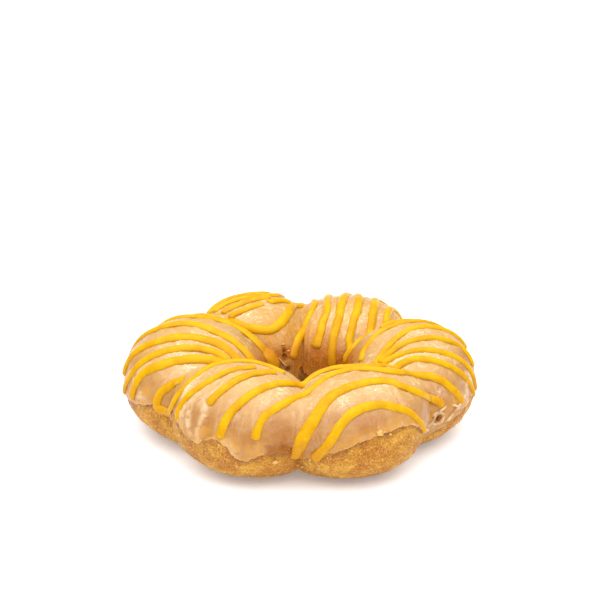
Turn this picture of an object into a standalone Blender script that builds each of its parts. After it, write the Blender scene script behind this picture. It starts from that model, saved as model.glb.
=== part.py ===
# A ring doughnut of six balls of dough pressed together, glazed, with thick icing drizzled over it.
# Metres, +Z up. The ring lies flat round the origin, its lowest faces at Z = 0. Seen from the front,
# +X is to the right and the front crease faces -Y.
#
# A place on the dough is given by two angles in degrees: "turn" goes round the ring, 0 at +X and -90
# at the front, and "over" goes round the dough's section, 0 outermost, 90 on top, 180 in the hole.
import math

import bmesh
import bpy
from mathutils import Vector

MM = 0.001

# The ring, whose middle is a little off the origin because its balls differ
RING_RADIUS = 28.5 * MM
RING_MIDDLE_X = 0.84 * MM
RING_MIDDLE_Y = 0.24 * MM
MIDDLE_HEIGHT = 12.0 * MM
BELOW_MIDDLE = 12.4 * MM

# The six balls, counter-clockwise from the front crease. Each row is one ball: the turn of the crease
# before it, how deep that crease is, how far the glaze fills it, how far it leans over the top, in
# degrees, and the ball's reach outwards, upwards and into the hole.
BALLS = (
    (-91.0, 0.93, 0.20, 1.0, 16.6 * MM, 13.2 * MM, 20.0 * MM),
    (-34.5, 1.05, 0.06, 4.5, 15.8 * MM, 13.9 * MM, 17.6 * MM),
    (42.0, 1.30, 0.06, -3.0, 16.2 * MM, 12.2 * MM, 17.6 * MM),
    (90.0, 1.15, 0.12, 0.0, 16.3 * MM, 12.5 * MM, 20.2 * MM),
    (136.0, 0.97, 0.08, 1.0, 17.2 * MM, 13.8 * MM, 19.8 * MM),
    (213.0, 0.95, 0.06, -5.0, 16.6 * MM, 14.0 * MM, 18.0 * MM),
)

# How much of its reach a ball loses in a crease: outwards, into the hole, upwards, downwards
CREASE_OUT = 0.45
CREASE_IN = 0.10
CREASE_UP = 0.33
CREASE_DOWN = 0.18
# Where the round of a ball is cut off by its neighbour, as a share of its half width
CREASE_CUT = 0.53
# Glaze lies in the creases only on the outer upper side: it sets in from this "over", over this many
# degrees, and dies out from the second one
FILL_START = -14.0
FILL_RISE = 28.0
FILL_END = 55.0
FILL_FALL = 40.0

# Facets of the dough, and the step in degrees over which its slope is measured
FACETS_PER_BALL = 11
FACETS_ROUND_SECTION = 20
SLOPE_STEP = 0.5

# The icing strands: half their width, their height above the glaze and their root below it
STRAND_HALF_WIDTH = 0.98 * MM
STRAND_HEIGHT = 0.65 * MM
STRAND_ROOT = 0.70 * MM
# Shares of that half width: their crown and their foot in the glaze, then the whole strand at its
# swollen ends and at its tips
STRAND_CROWN = 0.5
STRAND_FOOT = 0.8
STRAND_END_SWELL = 1.12
STRAND_TIP = 0.55
# Facets along a strand, and the finer parts between two of its points from which they are picked
STRAND_STEP = 3.6 * MM
CURVE_PARTS = 24

# Points of the joined skin nearer than this are one point
WELD = 0.001 * MM

# The strands as they were drizzled: how wide each is at its start, its middle and its end, against the
# half width above, then a smooth line through (turn, over)
STRANDS = (
    # front right ball
    ((0.80, 1.12, 0.75), ((-86, -13), (-82, 10), (-78, 32), (-72, 45), (-64, 46), (-56, 35), (-50, 17),
                          (-46, 0))),
    ((1.20, 1.15, 1.30), ((-92, -18), (-91, 5), (-89, 24), (-85, 48), (-80, 65), (-73, 72), (-65, 74),
                          (-57, 70), (-50, 54), (-42, 35), (-31, 11))),
    ((1.10, 1.05, 0.80), ((-105, 14), (-103, 38), (-96, 60), (-88, 86), (-77, 100), (-63, 99), (-49, 80),
                          (-37, 73), (-31, 58), (-27, 42), (-24, 25), (-19, 1))),
    ((1.15, 1.05, 0.75), ((-116, 11), (-114, 34), (-109, 60), (-100, 88), (-87, 112), (-71, 114), (-54, 100),
                          (-40, 98), (-29, 92), (-21, 58), (-13, 18), (-9, -4))),
    # front left ball
    ((1.00, 1.10, 0.90), ((-122, 40), (-119, 58), (-114, 84), (-105, 103))),
    ((0.80, 1.00, 0.85), ((-134, 14), (-133, 32), (-128, 56), (-123, 80), (-115, 100))),
    ((1.20, 0.90, 0.95), ((-142, 58), (-147, 47), (-149, 37), (-151, 27), (-152, 16), (-152, 7), (-150, 4),
                          (-146, 7), (-141, 18), (-138, 32), (-136, 46), (-135, 66), (-134, 88), (-126, 110),
                          (-111, 113), (-101, 111))),
    # left ball
    ((1.00, 1.10, 0.95), ((-166, 0), (-163, 32), (-157, 60), (-152, 94), (-148, 112), (-141, 128))),
    ((0.80, 1.00, 0.80), ((-175, -6), (-173, 4), (-170, 20), (-168, 38), (-165, 60), (-161, 90), (-157, 108),
                          (-146, 124))),
    ((1.00, 1.20, 1.00), ((-179, 8), (-179, 24), (-177, 42), (-174, 64), (-171, 94), (-165, 114),
                          (-152, 130))),
    ((0.95, 1.15, 1.00), ((168, 8), (168, 38), (171, 66), (173, 96), (-179, 118), (-170, 134), (-159, 150))),
    ((0.85, 0.90, 0.80), ((157, 14), (156, 50), (156, 80), (152, 100), (148, 114))),
    ((0.95, 0.90, 2.40), ((147, 30), (145, 70), (146, 98), (146, 114), (148, 126), (150, 136), (150, 147),
                          (146, 157), (141, 166))),
    ((1.00, 1.25, 0.80), ((142, 24), (140, 60), (136, 92), (133, 118), (124, 131), (111, 128), (101, 115),
                          (96, 98), (91, 70), (90, 40), (91, 22))),
    # back left ball
    ((0.90, 1.00, 0.80), ((133, 50), (124, 54), (115, 68), (105, 62), (102, 32))),
    ((0.90, 1.00, 0.80), ((133, 64), (124, 74), (114, 82), (104, 78), (98, 52), (97, 24))),
    ((0.85, 0.95, 0.70), ((133, 80), (126, 88), (114, 90), (106, 88))),
    ((0.85, 0.95, 0.70), ((134, 94), (125, 99), (113, 100))),
    ((0.90, 1.00, 0.80), ((110, 98), (104, 94), (96, 88))),
    # back right ball
    ((0.85, 0.95, 0.75), ((84, 20), (85, 50), (85, 72), (84, 88), (85, 104), (88, 120), (93, 142),
                          (97, 157))),
    ((0.90, 1.00, 0.80), ((76, 14), (79, 50), (79, 76), (77, 95), (74, 112), (74, 127), (73, 142),
                          (75, 156))),
    ((1.00, 1.10, 0.90), ((69, 24), (72, 56), (69, 92), (62, 124), (57, 146), (51, 168), (50, 178))),
    ((0.95, 1.05, 0.90), ((63, 12), (68, 50), (64, 76), (57, 102), (51, 121), (45, 138), (36, 151),
                          (32, 163))),
    ((0.95, 1.05, 0.80), ((55, 22), (60, 54), (52, 88), (45, 106), (37, 124), (27, 146), (26, 166))),
    ((0.90, 0.95, 0.85), ((49, 16), (52, 48), (48, 72), (42, 92))),
    # right ball
    ((0.90, 0.90, 0.70), ((32, 12), (32, 46), (30, 78), (29, 100), (21, 114))),
    ((0.85, 0.95, 0.80), ((18, 10), (20, 46), (19, 78), (14, 106), (5, 126), (-9, 138), (-22, 138))),
    ((0.85, 1.00, 0.80), ((10, 26), (10, 56), (4, 88), (-7, 105), (-19, 113), (-32, 119))),
    ((0.85, 1.00, 0.80), ((-1, 18), (0, 46), (-7, 78), (-16, 100), (-30, 116))),
    ((0.75, 1.00, 0.80), ((-6, -2), (-9, 34), (-15, 64), (-22, 92), (-31, 112))),
)

# The two finishes: a colour and a roughness
GLAZED_DOUGH = ((0.79, 0.55, 0.28, 1.0), 0.35)
YELLOW_ICING = ((0.93, 0.55, 0.06, 1.0), 0.30)


def ease(share):
    """A smooth step from 0 to 1."""
    share = min(max(share, 0.0), 1.0)
    return share * share * (3.0 - 2.0 * share)


def ball_at(turn):
    """The ball that a turn falls on, and how far across it, -1 at its first crease and 1 at its next."""
    turn = (turn - BALLS[0][0]) % 360.0 + BALLS[0][0]
    number = max(i for i, ball in enumerate(BALLS) if turn >= ball[0])
    start = BALLS[number][0]
    end = BALLS[number + 1][0] if number + 1 < len(BALLS) else BALLS[0][0] + 360.0
    return number, 2.0 * (turn - start) / (end - start) - 1.0


def dough_point(turn, over):
    """The point of the glazed surface at these two angles."""
    number, across = ball_at(turn)
    ball = BALLS[number]
    after = BALLS[(number + 1) % len(BALLS)]
    beside = after if across > 0.0 else BALLS[number - 1]
    blend = ease(abs(across) / 2.0)
    reach_out, reach_up, reach_in = (a + (b - a) * blend for a, b in zip(ball[4:], beside[4:]))
    crease = after if across > 0.0 else ball
    lean = ball[3] + (after[3] - ball[3]) * (across + 1.0) / 2.0

    fill = crease[2] * ease((over - FILL_START) / FILL_RISE) * (1.0 - ease((over - FILL_END) / FILL_FALL))
    aside = max(0.0, 1.0 - math.hypot(1.0 - abs(across), fill))
    swell = (math.sqrt(1.0 - aside * aside * (1.0 - CREASE_CUT ** 2)) - CREASE_CUT) / (1.0 - CREASE_CUT)
    loss = crease[1] * (1.0 - swell)
    sideways = math.cos(math.radians(over))
    upwards = math.sin(math.radians(over))
    if sideways > 0.0:
        radius = RING_RADIUS + reach_out * sideways * (1.0 - CREASE_OUT * loss)
    else:
        radius = RING_RADIUS + reach_in * sideways * (1.0 - CREASE_IN * loss)
    if upwards > 0.0:
        height = MIDDLE_HEIGHT + reach_up * upwards * (1.0 - CREASE_UP * loss)
    else:
        height = MIDDLE_HEIGHT + BELOW_MIDDLE * upwards * (1.0 - CREASE_DOWN * loss)
    angle = math.radians(turn + lean * upwards)
    x = RING_MIDDLE_X + radius * math.cos(angle)
    y = RING_MIDDLE_Y + radius * math.sin(angle)
    return Vector((x, y, max(height, 0.0)))


def dough_normal(turn, over):
    """The direction out of the surface, from the slopes along the two angles."""
    along = dough_point(turn + SLOPE_STEP, over) - dough_point(turn - SLOPE_STEP, over)
    across = dough_point(turn, over + SLOPE_STEP) - dough_point(turn, over - SLOPE_STEP)
    return along.cross(across).normalized()


def smooth_line(points, step):
    """(turn, over) pairs about one step apart on a smooth line through the given ones."""
    turns = [points[0][0]]
    for turn, _ in points[1:]:
        turns.append(turn - 360.0 * round((turn - turns[-1]) / 360.0))
    knots = [Vector((turn, over)) for turn, (_, over) in zip(turns, points)]
    knots = [2.0 * knots[0] - knots[1]] + knots + [2.0 * knots[-1] - knots[-2]]
    fine = []
    for before, start, end, after in zip(knots, knots[1:], knots[2:], knots[3:]):
        slope = end - before
        bend = 2.0 * before - 5.0 * start + 4.0 * end - after
        twist = 3.0 * start - before - 3.0 * end + after
        for k in range(CURVE_PARTS):
            t = k / CURVE_PARTS
            fine.append(start + 0.5 * (slope * t + bend * t ** 2 + twist * t ** 3))
    fine.append(knots[-2])
    places = [dough_point(*pair) for pair in fine]
    travelled = [0.0]
    for a, b in zip(places, places[1:]):
        travelled.append(travelled[-1] + (b - a).length)
    count = max(3, round(travelled[-1] / step))
    line = []
    k = 0
    for stop in range(count + 1):
        target = travelled[-1] * stop / count
        while k < len(travelled) - 2 and travelled[k + 1] < target:
            k += 1
        share = (target - travelled[k]) / (travelled[k + 1] - travelled[k])
        line.append(fine[k].lerp(fine[k + 1], min(share, 1.0)))
    return line


def material(name, finish):
    colour, roughness = finish
    made = bpy.data.materials.new(name)
    made.use_nodes = True
    shader = made.node_tree.nodes["Principled BSDF"]
    shader.inputs["Base Color"].default_value = colour
    shader.inputs["Roughness"].default_value = roughness
    shader.inputs["Metallic"].default_value = 0.0
    return made


def bridged(name, rings, close_ends, finish):
    """An object whose skin runs from each ring of points to the next."""
    shape = bmesh.new()
    loops = []
    for ring in rings:
        corners = [shape.verts.new(point) for point in ring]
        loops.append([shape.edges.new((a, b)) for a, b in zip(corners, corners[1:] + corners[:1])])
    pairs = list(zip(loops, loops[1:]))
    if close_ends:
        bmesh.ops.holes_fill(shape, edges=loops[0])
        bmesh.ops.holes_fill(shape, edges=loops[-1])
    else:
        pairs.append((loops[-1], loops[0]))
    for first, second in pairs:
        bmesh.ops.bridge_loops(shape, edges=first + second)
    bmesh.ops.recalc_face_normals(shape, faces=shape.faces)
    bmesh.ops.triangulate(shape, faces=shape.faces)
    mesh = bpy.data.meshes.new(name)
    shape.to_mesh(mesh)
    shape.free()
    mesh.materials.append(finish)
    mesh.shade_smooth()
    return bpy.data.objects.new(name, mesh)


def dough_ring(finish):
    """The ring of balls: one loop of points round the section for each facet line, one in each crease."""
    rings = []
    for number, ball in enumerate(BALLS):
        end = BALLS[number + 1][0] if number + 1 < len(BALLS) else BALLS[0][0] + 360.0
        for k in range(FACETS_PER_BALL):
            turn = ball[0] + (end - ball[0]) * k / FACETS_PER_BALL
            overs = [-90.0 + 360.0 * (j + 0.5) / FACETS_ROUND_SECTION for j in range(FACETS_ROUND_SECTION)]
            rings.append([dough_point(turn, over) for over in overs])
    return bridged("doughnut", rings, False, finish)


def width_along(widths, share):
    """A strand's width at this share of its length."""
    start, middle, end = widths
    if share < 0.5:
        return start + (middle - start) * 2.0 * share
    return middle + (end - middle) * (2.0 * share - 1.0)


def strand(number, widths, points, finish):
    """One icing strand: a low rounded bar that follows the dough, with a fuller end and a small tip."""
    line = smooth_line(points, STRAND_STEP)
    places = [dough_point(*pair) for pair in line]
    rings = []
    for k, (pair, place) in enumerate(zip(line, places)):
        normal = dough_normal(*pair)
        forward = (places[min(k + 1, len(places) - 1)] - places[max(k - 1, 0)]).normalized()
        side = forward.cross(normal).normalized()
        swell = 1.0
        if k in (0, len(line) - 1):
            swell = STRAND_TIP
        elif k in (1, len(line) - 2):
            swell = STRAND_END_SWELL
        width = width_along(widths, k / (len(line) - 1))
        half = STRAND_HALF_WIDTH * width * swell
        top = STRAND_HEIGHT * (1.0 + width) / 2.0 * min(swell, 1.0)
        left = ((-STRAND_FOOT, -STRAND_ROOT), (-1.0, 0.0), (-STRAND_CROWN, top))
        right = ((STRAND_CROWN, top), (1.0, 0.0), (STRAND_FOOT, -STRAND_ROOT))
        rings.append([place + side * (half * across) + normal * up for across, up in left + right])
    return bridged(f"strand_{number}", rings, True, finish)


def keep_outer_skin(mesh):
    """Drops the skins of sealed hollows and loose scraps, which are islands smaller than the outer one."""
    shape = bmesh.new()
    shape.from_mesh(mesh)
    bmesh.ops.remove_doubles(shape, verts=shape.verts, dist=WELD)
    bmesh.ops.triangulate(shape, faces=shape.faces)
    left = set(shape.faces)
    islands = []
    while left:
        island = []
        edge_of_search = [left.pop()]
        while edge_of_search:
            face = edge_of_search.pop()
            island.append(face)
            for neighbour in {other for edge in face.edges for other in edge.link_faces} & left:
                left.remove(neighbour)
                edge_of_search.append(neighbour)
        islands.append(island)
    islands.sort(key=len)
    for island in islands[:-1]:
        bmesh.ops.delete(shape, geom=island, context="FACES")
    shape.to_mesh(mesh)
    shape.free()


def main():
    for thing in list(bpy.data.objects):
        bpy.data.objects.remove(thing, do_unlink=True)

    dough_finish = material("glazed_dough", GLAZED_DOUGH)
    icing_finish = material("yellow_icing", YELLOW_ICING)

    doughnut = dough_ring(dough_finish)
    bpy.context.scene.collection.objects.link(doughnut)
    icing = bpy.data.collections.new("icing")
    bpy.context.scene.collection.children.link(icing)
    for number, (widths, points) in enumerate(STRANDS):
        icing.objects.link(strand(number, widths, points, icing_finish))

    # The icing has set on the dough, so both are one solid
    union = doughnut.modifiers.new("icing on dough", "BOOLEAN")
    union.operation = "UNION"
    union.operand_type = "COLLECTION"
    union.collection = icing
    union.solver = "EXACT"
    union.use_self = False
    evaluated = doughnut.evaluated_get(bpy.context.evaluated_depsgraph_get())
    joined = bpy.data.meshes.new_from_object(evaluated)
    doughnut.modifiers.clear()
    keep_outer_skin(joined)
    doughnut.data = joined
    for piece in list(icing.objects):
        bpy.data.objects.remove(piece, do_unlink=True)
    bpy.data.collections.remove(icing)


main()
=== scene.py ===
# A ring doughnut of six pressed balls of dough, under a sugar glaze and a drizzle of yellow icing.
# Metres, +Z up, with the front crease towards -Y. A place on the doughnut is given by two angles in
# degrees: "turn" goes round the ring, 0 at +X and -90 at the front, and "over" goes round the dough's
# section, 0 outermost, 90 on top and 180 in the hole.
import math
import random

import bmesh
import bpy
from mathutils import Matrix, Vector, kdtree, noise


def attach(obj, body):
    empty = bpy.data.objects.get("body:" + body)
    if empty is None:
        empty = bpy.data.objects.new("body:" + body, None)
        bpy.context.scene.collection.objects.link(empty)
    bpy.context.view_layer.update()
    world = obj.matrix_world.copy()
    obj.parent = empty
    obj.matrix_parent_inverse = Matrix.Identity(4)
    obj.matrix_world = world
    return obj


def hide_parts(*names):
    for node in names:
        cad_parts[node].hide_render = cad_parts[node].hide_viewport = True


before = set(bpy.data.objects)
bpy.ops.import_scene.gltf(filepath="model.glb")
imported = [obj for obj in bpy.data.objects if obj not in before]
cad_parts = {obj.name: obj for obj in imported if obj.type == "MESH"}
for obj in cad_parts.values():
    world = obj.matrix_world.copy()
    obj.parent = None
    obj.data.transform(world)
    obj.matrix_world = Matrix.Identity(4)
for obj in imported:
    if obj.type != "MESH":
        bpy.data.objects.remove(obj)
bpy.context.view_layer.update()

# The dough
# A ring of six balls of soft dough, pressed into one another and fried to a golden brown crust. It is
# bare below the glaze and deep in the hole, with a fine open grain. It is one closed ring.
MM = 0.001
RING_RADIUS = 28.5 * MM
RING_MIDDLE_X = 0.84 * MM
RING_MIDDLE_Y = 0.24 * MM
MIDDLE_HEIGHT = 12.0 * MM
BELOW_MIDDLE = 12.4 * MM

# One row a ball, counter-clockwise from the front crease: the turn of the crease before it, how deep
# that crease is, how far the glaze fills it, the ball's lean in degrees, and its reach outwards, upwards
# and into the hole
BALLS = (
    (-91.0, 0.93, 0.20, 1.0, 16.6 * MM, 13.2 * MM, 20.0 * MM),
    (-34.5, 1.05, 0.06, 4.5, 15.8 * MM, 13.9 * MM, 17.6 * MM),
    (42.0, 1.30, 0.06, -3.0, 16.2 * MM, 12.2 * MM, 17.6 * MM),
    (90.0, 1.15, 0.12, 0.0, 16.3 * MM, 12.5 * MM, 20.2 * MM),
    (136.0, 0.97, 0.08, 1.0, 17.2 * MM, 13.8 * MM, 19.8 * MM),
    (213.0, 0.95, 0.06, -5.0, 16.6 * MM, 14.0 * MM, 18.0 * MM),
)
CREASE_OUT = 0.45
CREASE_IN = 0.10
CREASE_UP = 0.33
CREASE_DOWN = 0.18
CREASE_CUT = 0.53
SLOPE_STEP = 0.5

# The glaze fills a crease from the side up to the crest: it begins at the first over and is whole after
# the rise, and it ends in the same way
FILL_START = -14.0
FILL_RISE = 28.0
FILL_END = 55.0
FILL_FALL = 40.0

# The crust lies this far under the glazed surface, and its relief is this high
CRUST_DEPTH = 0.26 * MM
LUMP_SIZE = 9.0 * MM
LUMP_HEIGHT = 0.35 * MM
FOLD_SIZE = 2.8 * MM
FOLD_HEIGHT = 0.17 * MM
GRAIN_SIZE = 0.8 * MM
GRAIN_HEIGHT = 0.11 * MM
PORE_SPACING = 2.3 * MM
PORE_REACH = 0.30
PORE_DEPTH = 0.22 * MM

# Torn pits and gaps: turn, over, half width and depth. Their sides are steep and uneven.
PITS = (
    (117.0, 157.0, 0.50 * MM, 0.8 * MM),
    (118.5, 162.0, 0.55 * MM, 0.9 * MM),
    (119.5, 167.0, 0.45 * MM, 0.7 * MM),
    (114.0, 180.0, 0.80 * MM, 1.1 * MM),
    (-96.0, 4.5, 0.80 * MM, 0.5 * MM),
    (-94.0, 0.0, 0.60 * MM, 0.4 * MM),
    (-30.3, -6.5, 0.62 * MM, 1.3 * MM),
    (-23.0, 0.0, 0.35 * MM, 0.7 * MM),
)
PIT_END = 2.5
PIT_STEEPNESS = 4
PIT_RAG = 0.5
PIT_RAG_SIZE = 0.8 * MM

# Rows of the ring, as bands from one "over" to the next, closest where the crust is bare
STEPS_ROUND = 600
DOUGH_BANDS = ((-70.0, 28.0, 76), (28.0, 150.0, 22), (150.0, 215.0, 36), (215.0, 290.0, 26))
WELD = 0.0001 * MM


def ease(share):
    """A smooth step from 0 to 1."""
    share = min(max(share, 0.0), 1.0)
    return share * share * (3.0 - 2.0 * share)


def dough_point(turn, over):
    """The point of the glazed surface at these two angles."""
    turn = (turn - BALLS[0][0]) % 360.0 + BALLS[0][0]
    number = max(i for i, ball in enumerate(BALLS) if turn >= ball[0])
    start = BALLS[number][0]
    end = BALLS[number + 1][0] if number + 1 < len(BALLS) else BALLS[0][0] + 360.0
    across = 2.0 * (turn - start) / (end - start) - 1.0
    ball = BALLS[number]
    after = BALLS[(number + 1) % len(BALLS)]
    beside = after if across > 0.0 else BALLS[number - 1]
    blend = ease(abs(across) / 2.0)
    reach_out, reach_up, reach_in = (a + (b - a) * blend for a, b in zip(ball[4:], beside[4:]))
    crease = after if across > 0.0 else ball
    lean = ball[3] + (after[3] - ball[3]) * (across + 1.0) / 2.0

    fill = crease[2] * ease((over - FILL_START) / FILL_RISE) * (1.0 - ease((over - FILL_END) / FILL_FALL))
    aside = max(0.0, 1.0 - math.hypot(1.0 - abs(across), fill))
    swell = (math.sqrt(1.0 - aside * aside * (1.0 - CREASE_CUT ** 2)) - CREASE_CUT) / (1.0 - CREASE_CUT)
    loss = crease[1] * (1.0 - swell)
    sideways = math.cos(math.radians(over))
    upwards = math.sin(math.radians(over))
    if sideways > 0.0:
        radius = RING_RADIUS + reach_out * sideways * (1.0 - CREASE_OUT * loss)
    else:
        radius = RING_RADIUS + reach_in * sideways * (1.0 - CREASE_IN * loss)
    if upwards > 0.0:
        height = MIDDLE_HEIGHT + reach_up * upwards * (1.0 - CREASE_UP * loss)
    else:
        height = MIDDLE_HEIGHT + BELOW_MIDDLE * upwards * (1.0 - CREASE_DOWN * loss)
    angle = math.radians(turn + lean * upwards)
    x = RING_MIDDLE_X + radius * math.cos(angle)
    y = RING_MIDDLE_Y + radius * math.sin(angle)
    return Vector((x, y, max(height, 0.0)))


def dough_normal(turn, over):
    """The direction out of the surface, from the slopes along the two angles."""
    along = dough_point(turn + SLOPE_STEP, over) - dough_point(turn - SLOPE_STEP, over)
    across = dough_point(turn, over + SLOPE_STEP) - dough_point(turn, over - SLOPE_STEP)
    return along.cross(across).normalized()


# Dough that swelled into the foot of the back crease
SWELLING_TURN = 88.0
SWELLING_OVER = 206.0
SWELLING_HALF_WIDTH = 3.4 * MM
SWELLING_HEIGHT = 1.6 * MM

swelling_place = dough_point(SWELLING_TURN, SWELLING_OVER)
pit_places = [(dough_point(turn, over), half, depth) for turn, over, half, depth in PITS]


def pit_depth(place):
    """How far a place is sunk by the pits near it."""
    depth = 0.0
    for middle, half, deepest in pit_places:
        apart = (place - middle).length / half
        if apart < PIT_END:
            uneven = 1.0 + PIT_RAG * noise.noise(place / PIT_RAG_SIZE)
            depth = max(depth, deepest * math.exp(-(apart * uneven) ** PIT_STEEPNESS))
    return depth


def lumps(place):
    """The slow unevenness that crust and glaze share."""
    return LUMP_HEIGHT * noise.noise(place / LUMP_SIZE)


def swelling(place):
    """How far a place is raised at the foot of the back crease."""
    return SWELLING_HEIGHT * math.exp(-((place - swelling_place).length / SWELLING_HALF_WIDTH) ** 2)


def layered(place, layers):
    """Unevenness in layers, each half as coarse and half as strong as the last."""
    return noise.fractal(place, 1.0, 2.0, layers)


def closed_ring(rows, measures, put):
    """A grid rolled up both ways into a ring. put(turn, row) gives a corner's place and its measures."""
    shape = bmesh.new()
    layers = [shape.verts.layers.float.new(measure) for measure in measures]
    bmesh.ops.create_grid(shape, x_segments=STEPS_ROUND, y_segments=rows, size=0.5)
    for corner in shape.verts:
        step = round((corner.co.x + 0.5) * STEPS_ROUND) % STEPS_ROUND
        row = round((corner.co.y + 0.5) * rows) % rows
        corner.co, *values = put(360.0 * step / STEPS_ROUND, row)
        for layer, value in zip(layers, values):
            corner[layer] = value
    bmesh.ops.remove_doubles(shape, verts=shape.verts, dist=WELD)
    bmesh.ops.recalc_face_normals(shape, faces=shape.faces)
    return shape


def finished(shape, name, material):
    """Turns a bmesh into a piece of the doughnut."""
    mesh = bpy.data.meshes.new(name)
    shape.to_mesh(mesh)
    shape.free()
    mesh.materials.append(material)
    mesh.shade_smooth()
    piece = bpy.data.objects.new(name, mesh)
    bpy.context.scene.collection.objects.link(piece)
    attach(piece, "root")
    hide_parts("doughnut")


def rgb(red, green, blue):
    """A colour by its display values from 0 to 255, as the light that Blender reckons with."""
    shares = (red / 255.0, green / 255.0, blue / 255.0)
    return tuple(((c + 0.055) / 1.055) ** 2.4 if c > 0.04045 else c / 12.92 for c in shares) + (1.0,)


class Value:
    """A number that varies over a surface: the output of a shader node, with ordinary arithmetic."""

    def __init__(self, finish, socket):
        self.finish = finish
        self.socket = socket

    def maths(self, operation, first, second):
        return self.finish.node("ShaderNodeMath", {"operation": operation}, {0: first, 1: second})

    def __add__(self, other):
        return self.maths("ADD", self, other)

    def __sub__(self, other):
        return self.maths("SUBTRACT", self, other)

    def __mul__(self, other):
        return self.maths("MULTIPLY", self, other)

    def __rsub__(self, other):
        return self.maths("SUBTRACT", other, self)

    __radd__ = __add__
    __rmul__ = __mul__

    def over(self, low, high):
        """0 up to low, 1 from high, and a smooth step between."""
        return self.finish.node("ShaderNodeMapRange", {"interpolation_type": "SMOOTHSTEP"},
                                {"Value": self, "From Min": low, "From Max": high})


class Finish:
    """A material, built from nodes."""

    def __init__(self, name, **constants):
        self.material = bpy.data.materials.new(name)
        self.material.use_nodes = True
        self.tree = self.material.node_tree
        self.shader = self.tree.nodes["Principled BSDF"]
        for socket, value in constants.items():
            self.shader.inputs[socket.replace("_", " ").title().replace("Ior", "IOR")].default_value = value

    def node(self, kind, settings, sockets, output=0):
        """Adds a node: its type, its settings, then the values or links of its sockets."""
        made = self.tree.nodes.new(kind)
        for name, value in settings.items():
            setattr(made, name, value)
        for name, value in sockets.items():
            if isinstance(value, Value):
                self.tree.links.new(value.socket, made.inputs[name])
            else:
                made.inputs[name].default_value = value
        return Value(self, made.outputs[output])

    def place(self, scale=(1.0, 1.0, 1.0)):
        """Object coordinates, stretched."""
        where = self.node("ShaderNodeTexCoord", {}, {}, "Object")
        return self.node("ShaderNodeMapping", {}, {"Vector": where, "Scale": scale})

    def along(self, axis):
        """How far along one axis."""
        return self.node("ShaderNodeSeparateXYZ", {}, {"Vector": self.place()}, axis)

    def from_axis(self):
        """How far from the ring's upright axis."""
        level = self.place((1.0, 1.0, 0.0))
        return self.node("ShaderNodeVectorMath", {"operation": "LENGTH"}, {"Vector": level}, "Value")

    def painted(self, name):
        """A measure that the piece's mesh carries at its corners."""
        return self.node("ShaderNodeAttribute", {"attribute_name": name}, {}, "Fac")

    def clouds(self, where, size, detail=3.0, roughness=0.5, twist=0.0):
        """Soft noise from 0 to 1, with features of about this size."""
        return self.node("ShaderNodeTexNoise", {}, {"Vector": where, "Scale": 1.0 / size, "Detail": detail,
                                                    "Roughness": roughness, "Distortion": twist})

    def cells(self, where, size):
        """Distance from scattered points, about this size apart."""
        return self.node("ShaderNodeTexVoronoi", {}, {"Vector": where, "Scale": 1.0 / size})

    def mix(self, share, first, second):
        """One colour into another."""
        return self.node("ShaderNodeMix", {"data_type": "RGBA"}, {0: share, 6: first, 7: second}, 2)

    def bump(self, height, depth, strength=1.0):
        """A surface direction that shows a relief of this depth in metres."""
        return self.node("ShaderNodeBump", {}, {"Height": height, "Distance": depth, "Strength": strength})

    def wire(self, socket, value):
        """Feeds one socket of the shader."""
        self.tree.links.new(value.socket, self.shader.inputs[socket])


# The crust's finish: golden brown, paler on its flecks, darker in its pores, in the wet band under the
# glaze's edge, which also holds a painted shadow of the edge, and down in the hole and in pits as painted
# shade
CRUST_GOLD = rgb(210, 153, 50)
CRUST_BROWN = rgb(179, 112, 25)
CRUST_TOAST = rgb(144, 78, 12)
CRUST_AMBER = rgb(124, 64, 8)
CRUST_FLECK = rgb(232, 192, 112)
BROWNED_SIZE = 5.5 * MM
SPECKLE_SIZE = 1.5 * MM
OPEN_PORE_SIZE = 1.1 * MM
OPEN_GRAIN_SIZE = 0.46 * MM
FINE_GRAIN_SIZE = 0.3 * MM
CRUST_GRAIN_DEPTH = 0.45 * MM

crust = Finish("fried_dough", specular_ior_level=0.25, subsurface_weight=0.1, subsurface_scale=0.5 * MM)
crust.shader.inputs["Subsurface Radius"].default_value = (1.0, 0.5, 0.2)
crust_place = crust.place()
browned = crust.clouds(crust_place, BROWNED_SIZE, 4.0, 0.6).over(0.38, 0.62)
grain = crust.clouds(crust_place, OPEN_GRAIN_SIZE, 4.0, 0.7, 0.4)
flecks = grain.over(0.53, 0.66)
pores = 1.0 - crust.cells(crust_place, OPEN_PORE_SIZE).over(0.12, 0.32)
speckle = crust.clouds(crust_place, SPECKLE_SIZE, 4.0, 0.6).over(0.48, 0.66)
crust_colour = crust.mix(browned, CRUST_GOLD, CRUST_BROWN)
crust_colour = crust.mix(speckle * 0.45, crust_colour, CRUST_TOAST)
crust_colour = crust.mix((1.0 - grain.over(0.34, 0.5)) * 0.7, crust_colour, CRUST_TOAST)
crust_colour = crust.mix(flecks * 0.7, crust_colour, CRUST_FLECK)
crust_colour = crust.mix(pores * 0.5, crust_colour, CRUST_TOAST)
# Amber under the glaze's edge: soaked crust and a painted shadow of the edge
crust_colour = crust.mix(crust.painted("soaked") * 0.7, crust_colour, CRUST_AMBER)
# Painted shade: amber down in the hole, and in pits by their depth
crust_colour = crust.mix(crust.painted("deep") * 0.6, crust_colour, CRUST_AMBER)
crust.wire("Base Color", crust_colour)
crust.wire("Roughness", 0.6 - crust.painted("soaked") * 0.25)
crust_grain = grain + crust.clouds(crust_place, FINE_GRAIN_SIZE, 2.0) * 0.4 - pores * 0.3
crust.wire("Normal", crust.bump(crust_grain, CRUST_GRAIN_DEPTH, 0.9))

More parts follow.
